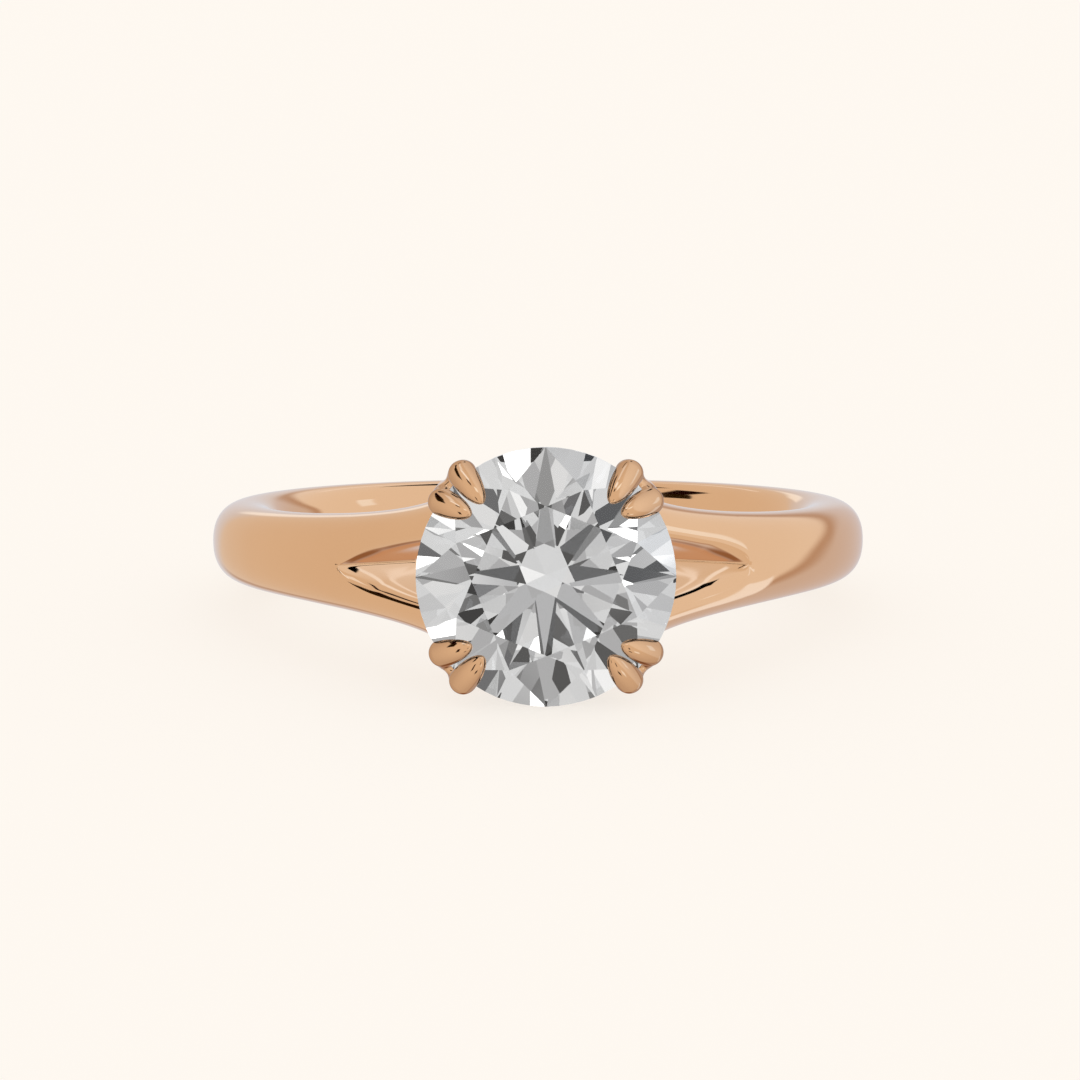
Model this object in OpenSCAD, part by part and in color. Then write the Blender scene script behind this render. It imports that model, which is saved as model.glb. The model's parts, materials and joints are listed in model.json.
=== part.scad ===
// Split shank ring with one round brilliant held by four pairs of claws.
// The ring lies on its side, as it rests by itself: z = 0 is the surface below it.
// In the ring's own frame the finger axis is Z and the stone faces -Y.

/* [Finger] */
// Diameter of the finger hole
finger_d = 16.9; // [14:0.1:21]
// Depth of the flat land that is cut into the rounded inside of the band
comfort_depth = 0.12; // [0.06:0.01:0.25]

/* [Band] */
// Thickness of the band from the finger to its crest
band_t = 2.0; // [1.5:0.05:2.6]
// Width of the band at the back
band_w = 2.4; // [1.8:0.05:3.2]
// Width of the band at its sides, a quarter turn from the stone
side_w = 2.5; // [1.9:0.05:3.4]
// Roundness of the band's section: 2 is an ellipse, more is squarer
section_power = 2.4; // [2:0.1:3.2]

/* [Shoulders] */
// Angle from the stone at which the crest starts to rise
rise_start = 62; // [50:1:75]
// How steeply the crest climbs at the end: 1 is a straight ramp
rise_power = 2.3; // [1.6:0.1:3]
// Drop from the girdle to the crest where a shoulder meets its claws
crest_drop = 0.1; // [0:0.05:0.6]
// Angle from the stone at which the split starts on the crest
split_start = 34; // [30:0.5:38]
// Angle from the stone at which the split comes through to the finger
split_through = 27; // [25:0.5:29]
// Half of the angle between the two walls of the split
split_wall = 14; // [10:0.5:18]
// Radius of the rounded bottom of the split
split_round = 0.26; // [0.1:0.02:0.34]

/* [Stone] */
// Diameter of the stone at its girdle
stone_d = 7.4; // [6.4:0.1:8.4]
// Clearance from the culet to the finger hole
culet_gap = 0.75; // [0.4:0.05:1.5]
// Thickness of the girdle
girdle_t = 0.2; // [0.16:0.01:0.3]
// Width of the table as a share of the stone's diameter
table_share = 0.57; // [0.53:0.01:0.62]
// Angle of the crown's main facets
crown_angle = 34.5; // [31:0.5:37]
// Angle of the pavilion's main facets
pavilion_angle = 40.75; // [39:0.25:42]
// Reach of the star facets from the table's edge to the girdle, as a share
star_share = 0.46; // [0.4:0.01:0.6]
// Reach of the lower girdle facets from the girdle to the culet, as a share
lower_share = 0.78; // [0.7:0.01:0.85]

/* [Claws] */
// Width of one claw at the girdle
claw_w = 0.82; // [0.6:0.02:1]
// Angle between the two claws of a pair, seen along the stone's axis
pair_angle = 15.8; // [13:0.2:18]
// Clearance between the stone and its seat in the claws
seat_gap = 0.03; // [0.02:0.01:0.06]

/* [Base] */
// Outer diameter of the round base that joins the claws below the stone
base_d = 5.2; // [4.4:0.1:6]
// Radial width of the base's wall
base_wall = 0.75; // [0.5:0.05:1]
// Height of the base above the finger hole
base_h = 1.05; // [0.8:0.05:1.4]

/* [Hidden] */

finger_r = finger_d / 2;
stone_r = stone_d / 2;
claw_r = claw_w / 2;

// Stations along the shank and points round its section
SIDE_STEPS = 14;
BACK_STEPS = 36;
SECTION_POINTS = 24;
// Points round a claw, and flats along each half facet at the girdle
CLAW_SIDES = 10;
GIRDLE_STEPS = 4;
// Room that a cutter keeps past what it cuts, and the fineness of a turned shape
PAST = 1;
ROUND_STEPS = 96;

// Heights above the finger axis, along the stone's axis
pavilion_h = stone_r * tan(pavilion_angle);
girdle_low = finger_r + culet_gap + pavilion_h;
girdle_mid = girdle_low + girdle_t / 2;
girdle_top = girdle_low + girdle_t;
table_r = stone_r * table_share;
crown_h = (stone_r - table_r) * tan(crown_angle);
table_level = girdle_top + crown_h;

// The shank ends where its crest meets the claws
HEAD_X_SHARE = 0.72;
HEAD_Z_SHARE = 0.55;
head_crest = girdle_mid - crest_drop;
head_a = asin(HEAD_X_SHARE * stone_r / head_crest);
crest_base = finger_r + band_t;

function clamp01(v) = max(0, min(1, v));
function mix(a, b, s) = a + (b - a) * s;
function turned(a) = a > 180 ? 360 - a : a;

// Radius of the crest and half width of the section at an angle from the stone
function rise(a) = pow(clamp01((rise_start - a) / (rise_start - head_a)), rise_power);
function crest_r(a) = mix(crest_base, head_crest, rise(a));
// It flares slowly along the shoulder, and once more where it reaches the claws.
FLARE_POWER = 3.6;
END_POWER = 16;
END_Z_SHARE = 0.15;
function toward_head(a) = clamp01((90 - a) / (90 - head_a));
function half_w(a) = a > 90 ? mix(band_w, side_w, sin(a)) / 2
    : mix(side_w / 2, HEAD_Z_SHARE * stone_r, pow(toward_head(a), FLARE_POWER))
        + END_Z_SHARE * stone_r * pow(toward_head(a), END_POWER);
WIDEST_SHARE = 0.45;

// One rounded section, as [radius, z] round its middle
function signed_pow(v, p) = sign(v) * pow(abs(v), p);
function section(a) =
    let (low = finger_r - comfort_depth, high = crest_r(a),
         mid = mix(low, high, WIDEST_SHARE), w = half_w(a))
    [for (i = [0 : SECTION_POINTS - 1])
        let (t = -360 * i / SECTION_POINTS, c = signed_pow(cos(t), 2 / section_power))
        [mid + c * (c > 0 ? high - mid : mid - low), w * signed_pow(sin(t), 2 / section_power)]];

// Angles of the stations, from the right shoulder round the back to the left one
station_angles = concat(
    [for (i = [0 : SIDE_STEPS - 1]) mix(head_a, rise_start, i / SIDE_STEPS)],
    [for (i = [0 : BACK_STEPS]) mix(rise_start, 360 - rise_start, i / BACK_STEPS)],
    [for (i = [1 : SIDE_STEPS]) mix(360 - rise_start, 360 - head_a, i / SIDE_STEPS)]);

function place(a, rz) = [rz[0] * sin(a), -rz[0] * cos(a), rz[1]];

// A closed solid through rings of points, with flat ends
module loft(rings) {
    n = len(rings[0]);
    last = len(rings) - 1;
    polyhedron(
        points = [for (ring = rings) each ring],
        faces = concat(
            [[for (i = [0 : n - 1]) i]],
            [for (s = [0 : last - 1], i = [0 : n - 1])
                [s * n + i, (s + 1) * n + i, (s + 1) * n + (i + 1) % n, s * n + (i + 1) % n]],
            [[for (i = [n - 1 : -1 : 0]) last * n + i]]),
        convexity = 6);
}

module shank() {
    loft([for (a = station_angles) [for (p = section(turned(a))) place(a, p)]]);
}

// The split is a wedge. Its bottom line runs from the crest to the finger hole.
split_top = place(split_start, [crest_r(split_start), 0]);
split_low = place(split_through, [finger_r, 0]);
split_dir = atan2(split_top[1] - split_low[1], split_top[0] - split_low[0]);
// Corners of the shank's end, which the wedge runs past
end_crest = place(head_a, [head_crest, 0]);
end_land = place(head_a, [finger_r - comfort_depth, 0]);
SPLIT_STEPS = 4;

function split_profile(reach) =
    let (t = split_wall, r = split_round, far = (reach - r) * tan(t) + r / cos(t))
    concat([[reach, -far]],
        [for (i = [0 : SPLIT_STEPS])
            let (q = 270 - t - i * (180 - 2 * t) / SPLIT_STEPS)
            [r + r * cos(q), r * sin(q)]],
        [[reach, far]]);

module split() {
    run = PAST + norm(split_top - split_low) + norm(split_low - end_land);
    translate(split_top)
        rotate([0, 0, split_dir])
            translate([PAST, 0, 0])
                rotate([90, 0, -90])
                    linear_extrude(height = run)
                        polygon(split_profile(norm(split_low - end_crest)));
}

// Stone, with its girdle's middle at the origin and its table up.
// Its facets repeat once for each main facet.
MAIN_COUNT = 8;
main_turn = 360 / MAIN_COUNT;
half_turn = main_turn / 2;
quarter_turn = main_turn / 4;
function polar(r, a, z) = [r * cos(a), r * sin(a), z];
star_r = mix(table_r * cos(half_turn), stone_r, star_share);
star_z = (stone_r - star_r * cos(half_turn)) * tan(crown_angle);
upper_slope = star_z / ((stone_r - star_r) * cos(quarter_turn));
lower_r = stone_r * (1 - lower_share);
lower_z = (stone_r - lower_r * cos(half_turn)) * tan(pavilion_angle);
lower_slope = lower_z / ((stone_r - lower_r) * cos(quarter_turn));

// How far the round girdle dips where a half facet meets it, at an angle from its own middle
function dip(a, slope) = stone_r * (cos(a) - cos(quarter_turn)) * slope;
RIM = 2 * MAIN_COUNT * GIRDLE_STEPS;
function rim(side, slope) = [for (i = [0 : RIM - 1])
    let (a = 360 * i / RIM, off = a - half_turn * floor(a / half_turn) - quarter_turn)
    polar(stone_r, a, side * (girdle_t / 2 - dip(off, slope)))];

module brilliant() {
    half = girdle_t / 2;
    n = GIRDLE_STEPS;
    table = [for (k = [0 : MAIN_COUNT - 1]) polar(table_r, main_turn * k, half + crown_h)];
    stars = [for (k = [0 : MAIN_COUNT - 1]) polar(star_r, main_turn * (k + 0.5), half + star_z)];
    lowers = [for (k = [0 : MAIN_COUNT - 1]) polar(lower_r, main_turn * (k + 0.5), -half - lower_z)];
    // First point of each group, in the order of the list below
    T = 0;
    S = MAIN_COUNT;
    U = 2 * MAIN_COUNT;
    D = U + RIM;
    L = D + RIM;
    C = L + MAIN_COUNT;
    last = MAIN_COUNT - 1;
    polyhedron(
        points = concat(table, stars, rim(1, upper_slope), rim(-1, lower_slope), lowers,
            [[0, 0, -half - pavilion_h]]),
        faces = concat(
            [[for (k = [last : -1 : 0]) T + k]],
            [for (k = [0 : last]) [T + k, T + (k + 1) % MAIN_COUNT, S + k]],
            [for (k = [0 : last]) [T + k, S + k, U + 2 * n * k, S + (k + last) % MAIN_COUNT]],
            [for (k = [0 : last], h = [0, 1])
                [S + k, for (i = [n : -1 : 0]) U + ((2 * k + h) * n + i) % RIM]],
            [for (i = [0 : RIM - 1])
                [U + i, U + (i + 1) % RIM, D + (i + 1) % RIM, D + i]],
            [for (k = [0 : last], h = [0, 1])
                [L + k, for (i = [0 : n]) D + ((2 * k + h) * n + i) % RIM]],
            [for (k = [0 : last]) [C, L + (k + last) % MAIN_COUNT, D + 2 * n * k, L + k]]),
        convexity = 2);
}

// From the stone's own frame to the ring's: its table faces -Y and one main facet points up
module at_head() {
    translate([0, -girdle_mid, 0])
        rotate([90, 0, 0])
            children();
}

// A claw's middle line: share of the stone's radius, height over the girdle's middle,
// share of the claw's radius, and share of the pair's angle. It starts inside the base's wall.
PAIR_COUNT = 4;
pair_turn = 360 / PAIR_COUNT;
function over_crown(share, fat) =
    girdle_t / 2 + (1 - share) * stone_r * tan(crown_angle) + fat * claw_r;
foot_z = finger_r + base_h / 2 - girdle_mid;
foot_share = (base_d - base_wall) / 2 / stone_r;
claw_line = [
    [foot_share, foot_z, 1.15, 0.2],
    [0.76, foot_z * 0.62, 1.14, 0.42],
    [0.93, foot_z * 0.3, 1.12, 0.7],
    [1.005, foot_z * 0.1, 1.08, 0.94],
    [1.01, claw_r * 0.4, 1.02, 1],
    [0.95, over_crown(0.95, 0.86), 0.98, 1],
    [0.86, over_crown(0.86, 0.66), 0.74, 0.9],
    [0.765, over_crown(0.765, 0.2), 0.18, 0.78],
];

// Rings of a tube stand square to its middle line, which lies in a plane through the stone's axis
function claw_rings(side) = [for (i = [0 : len(claw_line) - 1])
    let (p = claw_line[i],
         before = claw_line[max(0, i - 1)],
         after = claw_line[min(len(claw_line) - 1, i + 1)],
         along = atan2(after[1] - before[1], (after[0] - before[0]) * stone_r),
         turn = pair_turn / 2 + side * pair_angle / 2 * p[3],
         fat = p[2] * claw_r)
    [for (k = [0 : CLAW_SIDES - 1])
        let (q = 360 * k / CLAW_SIDES,
             out = p[0] * stone_r + fat * cos(q) * sin(along),
             up = p[1] - fat * cos(q) * cos(along),
             across = fat * sin(q))
        [out * cos(turn) - across * sin(turn), out * sin(turn) + across * cos(turn), up]]];

module claw_pairs() {
    for (pair = [0 : PAIR_COUNT - 1], side = [-1, 1])
        rotate([0, 0, pair_turn * pair])
            loft(claw_rings(side));
}

module base() {
    translate([0, 0, finger_r - girdle_mid - PAST])
        rotate_extrude($fn = ROUND_STEPS)
            translate([base_d / 2 - base_wall, 0])
                square([base_wall, base_h + PAST]);
}

// Tilt at which the girdle's lower edge and the back of the band both touch the surface
back_points = [for (p = section(180)) place(180, p)];
tilt = min([for (p = back_points) atan2(p[2] + stone_r, p[1] + girdle_low)]);
lift = stone_r * cos(tilt) - girdle_low * sin(tilt);
// Middle of the whole ring along Y, once it is tilted
back_y = max([for (p = back_points) p[1] * cos(tilt) + p[2] * sin(tilt)]);
front_y = -table_level * cos(tilt) - table_r * sin(tilt);
mid_y = (back_y + front_y) / 2;

module laid_down() {
    translate([0, -mid_y, lift])
        rotate([-tilt, 0, 0])
            children();
}

module gold_mounting() {
    color([0.83, 0.62, 0.45])
        laid_down()
            difference() {
                union() {
                    difference() {
                        shank();
                        split();
                        mirror([1, 0, 0]) split();
                    }
                    at_head() {
                        base();
                        claw_pairs();
                    }
                }
                cylinder(h = stone_d + 2 * PAST, r = finger_r, center = true, $fn = ROUND_STEPS);
                at_head() scale(1 + seat_gap / stone_r) brilliant();
            }
}

module center_stone() {
    color([0.86, 0.87, 0.88])
        laid_down()
            at_head() brilliant();
}

gold_mounting();
center_stone();
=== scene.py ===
"""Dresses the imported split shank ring: smooth rose gold, a round brilliant, and a pale studio.

Lengths are in millimetres in the ring's own frame while a piece is modelled: the finger's axis is Z
and the stone faces -Y. An angle from the stone is in degrees round that axis. Each finished piece
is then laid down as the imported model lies, in metres.
"""
import json
import logging
import math
from collections import Counter
from collections.abc import Iterator
from contextlib import contextmanager
from dataclasses import dataclass
from enum import Enum

import bpy
from mathutils import Matrix, Vector
from mathutils.geometry import intersect_point_line
from mathutils.kdtree import KDTree

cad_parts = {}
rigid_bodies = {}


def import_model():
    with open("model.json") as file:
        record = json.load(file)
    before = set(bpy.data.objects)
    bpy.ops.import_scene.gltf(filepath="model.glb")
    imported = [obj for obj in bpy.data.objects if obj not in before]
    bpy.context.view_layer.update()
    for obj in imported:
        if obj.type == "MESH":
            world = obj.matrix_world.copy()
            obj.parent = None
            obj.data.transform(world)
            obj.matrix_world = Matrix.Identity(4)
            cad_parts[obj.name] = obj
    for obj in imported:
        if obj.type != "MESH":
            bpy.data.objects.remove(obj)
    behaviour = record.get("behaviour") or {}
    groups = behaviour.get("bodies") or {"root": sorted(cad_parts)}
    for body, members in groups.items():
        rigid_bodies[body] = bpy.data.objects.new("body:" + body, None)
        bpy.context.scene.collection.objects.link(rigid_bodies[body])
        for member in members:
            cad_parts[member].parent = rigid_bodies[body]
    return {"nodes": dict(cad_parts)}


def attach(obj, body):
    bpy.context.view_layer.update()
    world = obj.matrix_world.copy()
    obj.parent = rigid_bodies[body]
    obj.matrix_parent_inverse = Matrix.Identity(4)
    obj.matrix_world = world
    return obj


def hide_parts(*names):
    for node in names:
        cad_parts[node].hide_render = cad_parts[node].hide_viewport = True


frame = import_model()

LOG = logging.getLogger("split_shank_ring")
MM = 0.001  # one millimetre in metres
TINY = 1e-4  # lengths under this count as none
HALVINGS = 30  # steps of a search that halves a span
UPRIGHT = Matrix.Rotation(math.pi / 2, 4, "X")  # turns Z towards -Y, where the stone faces

Point = tuple[float, float]
Hoop = tuple[float, float, float, float]
Colour = tuple[float, float, float]
Socket = bpy.types.NodeSocket


class Operation(Enum):
    """How one closed shape acts on another."""

    ADD = "UNION"
    CUT = "DIFFERENCE"


class Outline(Enum):
    """Outline of a card."""

    PLATE = "plate"
    DISC = "disc"


# Small helpers for the work in edit mode


def pick(piece: bpy.types.Object) -> None:
    """Select one piece alone and make it the active one.

    Args:
        piece: The piece that the next operators act on.
    """
    if bpy.context.object and bpy.context.object.mode != "OBJECT":
        bpy.ops.object.mode_set(mode="OBJECT")
    bpy.ops.object.select_all(action="DESELECT")
    piece.select_set(True)
    bpy.context.view_layer.objects.active = piece


@contextmanager
def editing(piece: bpy.types.Object, selection: str = "SELECT") -> Iterator[None]:
    """Hold one piece in edit mode for a few operators.

    Args:
        piece: The piece to edit.
        selection: "SELECT" to start with all of it selected, "DESELECT" with nothing.

    Yields:
        Nothing. The piece is back in object mode afterwards.
    """
    pick(piece)
    bpy.ops.object.mode_set(mode="EDIT")
    bpy.ops.mesh.select_all(action=selection)
    yield
    bpy.ops.object.mode_set(mode="OBJECT")


def start_piece(name: str) -> bpy.types.Object:
    """Name the primitive that was just added.

    Args:
        name: The piece's name, which its mesh gets too.

    Returns:
        The new piece.
    """
    piece = bpy.context.active_object
    piece.name = piece.data.name = name
    return piece


def apply_modifier(piece: bpy.types.Object, kind: str, **settings: object) -> None:
    """Add one modifier and apply it.

    Args:
        piece: The piece to change.
        kind: The modifier's type, such as "MIRROR".
        **settings: Values for the modifier's own properties.
    """
    pick(piece)
    modifier = piece.modifiers.new(kind.lower(), kind)
    for key, value in settings.items():
        setattr(modifier, key, value)
    bpy.ops.object.modifier_apply(modifier=modifier.name)


def act_on(piece: bpy.types.Object, tool: bpy.types.Object, how: Operation) -> None:
    """Fuse a closed shape to a piece or cut it away, and remove the tool.

    Args:
        piece: The piece that stays.
        tool: The other closed shape.
        how: Whether the tool is added or cuts.
    """
    apply_modifier(piece, "BOOLEAN", operation=how.value, object=tool, solver="MANIFOLD")
    bpy.data.objects.remove(tool)


def signed_volume(piece: bpy.types.Object) -> float:
    """Measure a closed piece.

    Args:
        piece: The closed piece.

    Returns:
        Its volume, negative where its faces point inwards.
    """
    corners = piece.data.vertices
    total = 0.0
    for face in piece.data.polygons:
        a, *others = (corners[i].co for i in face.vertices)
        total += sum(a.dot(b.cross(c)) for b, c in zip(others, others[1:]))
    return total / 6


def close_up(piece: bpy.types.Object) -> None:
    """Merge points that lie together and point all faces outwards.

    Args:
        piece: The piece to clean.
    """
    with editing(piece):
        bpy.ops.mesh.remove_doubles(threshold=TINY)
        bpy.ops.mesh.dissolve_degenerate(threshold=TINY)
        bpy.ops.mesh.select_all(action="SELECT")
        bpy.ops.mesh.normals_make_consistent(inside=False)
    if signed_volume(piece) < 0:
        with editing(piece):
            bpy.ops.mesh.flip_normals()


def close_openings(piece: bpy.types.Object) -> None:
    """Close each open edge loop of a piece with one face.

    Args:
        piece: The piece to close.
    """
    with editing(piece):
        bpy.ops.mesh.fill_holes(sides=0)
        bpy.ops.mesh.select_all(action="SELECT")
        bpy.ops.mesh.normals_make_consistent(inside=False)


def drop_specks(piece: bpy.types.Object) -> None:
    """Delete the loose specks that cuts leave, and keep what hangs together with the highest Y.

    Args:
        piece: The piece to clean.
    """
    with editing(piece, "DESELECT"):
        bpy.ops.mesh.select_mode(type="VERT")
    max(piece.data.vertices, key=lambda vertex: vertex.co.y).select = True
    bpy.ops.object.mode_set(mode="EDIT")
    bpy.ops.mesh.select_linked()
    bpy.ops.mesh.select_all(action="INVERT")
    bpy.ops.mesh.delete(type="VERT")
    bpy.ops.object.mode_set(mode="OBJECT")


def lay_sheet(name: str, rows: list[list[Vector]]) -> bpy.types.Object:
    """Lay a grid of quads over rows of points and merge what meets.

    Args:
        name: The new piece's name.
        rows: Rows of as many points each. A row whose points are all the same closes a tip.

    Returns:
        The new piece.
    """
    across = len(rows[0])
    bpy.ops.object.select_all(action="DESELECT")
    bpy.ops.mesh.primitive_grid_add(
        x_subdivisions=across - 1, y_subdivisions=len(rows) - 1, size=1)
    piece = start_piece(name)
    for i, row in enumerate(rows):
        for j, point in enumerate(row):
            piece.data.vertices[i * across + j].co = point
    close_up(piece)
    return piece


# Small helpers for lengths, shares and paths


def mix(a: float, b: float, share: float) -> float:
    """Value that lies a share of the way from a to b."""
    return a + (b - a) * share


def clamp01(value: float) -> float:
    """Value held between 0 and 1."""
    return max(0.0, min(1.0, value))


def ease(value: float) -> float:
    """Smooth step from 0 to 1."""
    t = clamp01(value)
    return t * t * (3 - 2 * t)


def spot_at(a: float, r: float) -> Point:
    """X and Y of the point at an angle from the stone and a radius."""
    turn = math.radians(a)
    return r * math.sin(turn), -r * math.cos(turn)


def reaches(path: list[Point]) -> list[float]:
    """Measure a path.

    Args:
        path: Points in order.

    Returns:
        The path's length up to each of its points.
    """
    reach = [0.0]
    for a, b in zip(path, path[1:]):
        reach.append(reach[-1] + math.dist(a, b))
    return reach


def along(path: list[Point], start: float, end: float, shares: list[float]) -> list[Point]:
    """Points at shares of the length between two places on a path.

    Args:
        path: Points in order.
        start: Length along the path where the stretch starts.
        end: Length along the path where it ends.
        shares: Places on the stretch, from 0 to 1.

    Returns:
        One point for each share.
    """
    reach = reaches(path)
    found = []
    for share in shares:
        target = mix(start, end, share)
        i = 0
        while i < len(reach) - 2 and reach[i + 1] < target:
            i += 1
        step = reach[i + 1] - reach[i]
        s = clamp01((target - reach[i]) / step) if step > 0 else 0.0
        found.append(tuple(mix(p, q, s) for p, q in zip(path[i], path[i + 1])))
    return found


@dataclass(frozen=True)
class RingSizes:
    """The ring's sizes in millimetres and degrees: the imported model's, with a sharper split."""

    finger_r: float = 8.45
    band_t: float = 2.0
    band_w: float = 2.4
    side_w: float = 2.5
    section_power: float = 2.4  # 2 gives an ellipse, more a fuller section
    comfort_depth: float = 0.12  # the section's rounding reaches this far into the finger hole
    rise_start: float = 62.0  # angle from the stone where the crest starts to climb
    rise_power: float = 2.3
    crest_drop: float = 0.1  # from the girdle's middle down to the crest by the claws
    split_start: float = 34.8  # angle from the stone where the split's tip lies on the crest
    split_through: float = 26.5  # angle where the split comes through to the finger
    split_wall: float = 20.0  # lean of each wall
    split_bow: float = 0.035
    split_round: float = 0.05
    stone_r: float = 3.7
    culet_gap: float = 0.75
    girdle_t: float = 0.2
    crown_angle: float = 34.5
    pavilion_angle: float = 40.75
    claw_r: float = 0.41
    pair_angle: float = 15.8  # between the two claws of a pair
    base_r: float = 2.6
    base_wall: float = 0.75
    base_h: float = 1.05
    head_x_share: float = 0.72  # shares of the stone's radius, for where a shoulder ends
    head_z_share: float = 0.55
    end_z_share: float = 0.15
    flare_power: float = 3.6
    end_power: float = 16.0
    widest_share: float = 0.45  # height of the widest place in the section

    @property
    def girdle_low(self) -> float:
        """Height of the girdle's lower edge over the finger's axis."""
        pavilion = self.stone_r * math.tan(math.radians(self.pavilion_angle))
        return self.finger_r + self.culet_gap + pavilion

    @property
    def girdle_mid(self) -> float:
        """Height of the girdle's middle over the finger's axis."""
        return self.girdle_low + self.girdle_t / 2

    @property
    def head_crest(self) -> float:
        """Height of the crest where a shoulder meets its claws."""
        return self.girdle_mid - self.crest_drop

    @property
    def head_angle(self) -> float:
        """Angle from the stone at which the shank ends."""
        return math.degrees(math.asin(self.head_x_share * self.stone_r / self.head_crest))


@dataclass(frozen=True)
class RestPlace:
    """How the ring lies: leaning on the girdle and on the back of the band."""

    tilt: float = 6.5561
    lift: float = 2.26138
    back: float = 1.71991

    def settle(self, piece: bpy.types.Object) -> None:
        """Lay a piece down from the ring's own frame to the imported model's, in metres.

        Args:
            piece: A piece that was modelled in millimetres in the ring's own frame.
        """
        pick(piece)
        piece.scale = (MM,) * 3
        piece.rotation_euler = (math.radians(-self.tilt), 0, 0)
        piece.location = (0, self.back * MM, self.lift * MM)
        bpy.ops.object.transform_apply(location=True, rotation=True, scale=True)


@dataclass
class Shank:
    """The band and both split shoulders, as one closed sheet of quads that is then smoothed.

    Attributes:
        sizes: The ring's sizes.
        fine: Steps of the fine half section that the sheet's points are picked from.
        land_steps: The sheet's steps along the finger.
        side_steps: Its steps from there to the widest place.
        top_steps: Its steps from there to the crest or the split's rim.
        wall_steps: Its steps down the split's wall.
        land_fan: Angle from the stone where the steps by the finger start to narrow.
        top_fan: Angle where those by the rim do.
        back_rows: Rows on the back half of the band.
        side_rows: Rows from there to where the crest climbs.
        rise_rows: Rows from there to the first of the shoulder's.
        shoulder_rows: Angles of the shoulder's rows, besides those at the split's two ends.
        edge: Length of the narrow steps that hold an edge.
        edge_most: Most that such a step takes of an even one.
        wall_fine: Steps of the fine line down a wall.
        wall_edge: Most that a narrow step takes of a wall.
        arc_reach: Length of the rounding at a wall's bottom, in radii of the split's round.
        arc_most: Most that it takes of a wall.
        arc_step: Share of it below the wall's last point but one.
        end_round: Radius of the shoulder's rounded end.
        end_at: Radius from the finger's axis at which its length becomes an angle.
        end_turns: Degrees round that end at which its rows lie.
        end_inset: How far those rows draw in, as a share of a full quarter circle.
        cap_inset: Width of the rim round the end's last face.
        cap_within: Greatest X of the end's points.
        smooth: Times that the sheet is subdivided.
        rim_reach: Distance from a rim over which the polish fades.
        rim_start: Distance, in those, within which it starts.
        rim_end: Angle from the stone where it ends.
        rim_fine: Points that stand for the rim.
        rim_passes: Strength of the polish.
    """

    sizes: RingSizes
    fine: int = 240
    land_steps: int = 3
    side_steps: int = 4
    top_steps: int = 8
    wall_steps: int = 5
    land_fan: float = 32.0
    top_fan: float = 42.0
    back_rows: int = 15
    side_rows: int = 5
    rise_rows: int = 8
    shoulder_rows: tuple[float, ...] = (
        37.0, 35.8, 34.3, 33.6, 32.7, 31.8, 30.8, 29.8, 28.6, 27.4,
        25.8, 24.8, 23.6, 22.3, 20.9, 19.5, 18.1, 16.6, 15.2)
    edge: float = 0.24
    edge_most: float = 0.8
    wall_fine: int = 80
    wall_edge: float = 0.22
    arc_reach: float = 2.4
    arc_most: float = 0.6
    arc_step: float = 0.35
    end_round: float = 0.25
    end_at: float = 10.4
    end_turns: tuple[float, ...] = (30, 60, 90)
    end_inset: float = 0.85
    cap_inset: float = 0.12
    cap_within: float = 4.0
    smooth: int = 2
    rim_reach: float = 0.85
    rim_start: float = 1.25
    rim_end: float = 13.0
    rim_fine: int = 160
    rim_passes: int = 60

    def crest(self, a: float) -> float:
        """Find how high the crest is.

        Args:
            a: Angle from the stone.

        Returns:
            The crest's radius there.
        """
        s = self.sizes
        climb = clamp01((s.rise_start - a) / (s.rise_start - s.head_angle)) ** s.rise_power
        return mix(s.finger_r + s.band_t, s.head_crest, climb)

    def half_width(self, a: float) -> float:
        """Find how wide the section is.

        Args:
            a: Angle from the stone.

        Returns:
            Half of the section's width there.
        """
        s = self.sizes
        if a > 90:
            return mix(s.band_w, s.side_w, math.sin(math.radians(a))) / 2
        near = clamp01((90 - a) / (90 - s.head_angle))
        flare = mix(s.side_w / 2, s.head_z_share * s.stone_r, near**s.flare_power)
        return flare + s.end_z_share * s.stone_r * near**s.end_power

    def split_line(self) -> tuple[Point, Point]:
        """Lay the split's bottom line.

        Returns:
            Its ends, on the crest and at the finger.
        """
        s = self.sizes
        return (spot_at(s.split_start, self.crest(s.split_start)),
                spot_at(s.split_through, s.finger_r))

    def wedge_depth(self, a: float, r: float) -> float:
        """Find how deep a point lies inside the split's wedge, on the ring's middle plane.

        Args:
            a: The point's angle from the stone.
            r: Its radius.

        Returns:
            Its depth from the split's bottom, negative where the metal is whole.
        """
        top, low = self.split_line()
        run = math.dist(top, low)
        u = ((top[0] - low[0]) / run, (top[1] - low[1]) / run)
        x, y = spot_at(a, r)
        return (x - top[0]) * u[1] - (y - top[1]) * u[0]

    def wedge_half(self, depth: float) -> float:
        """Find how wide the split is.

        Args:
            depth: Depth from its bottom.

        Returns:
            Half of its width there.
        """
        r, t = self.sizes.split_round, math.radians(self.sizes.split_wall)
        if depth <= 0:
            return 0.0
        if depth < r * (1 - math.sin(t)):
            return math.sqrt(r * r - (r - depth) ** 2)
        straight = (depth - r) * math.tan(t) + r / math.cos(t)
        return straight - self.sizes.split_bow * (depth - r) ** 2

    def bottom_radius(self, a: float) -> float:
        """Radius at which the split's bottom lies at an angle."""
        d0, d1 = self.wedge_depth(a, 0.0), self.wedge_depth(a, 1.0)
        return -d0 / (d1 - d0)

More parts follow.
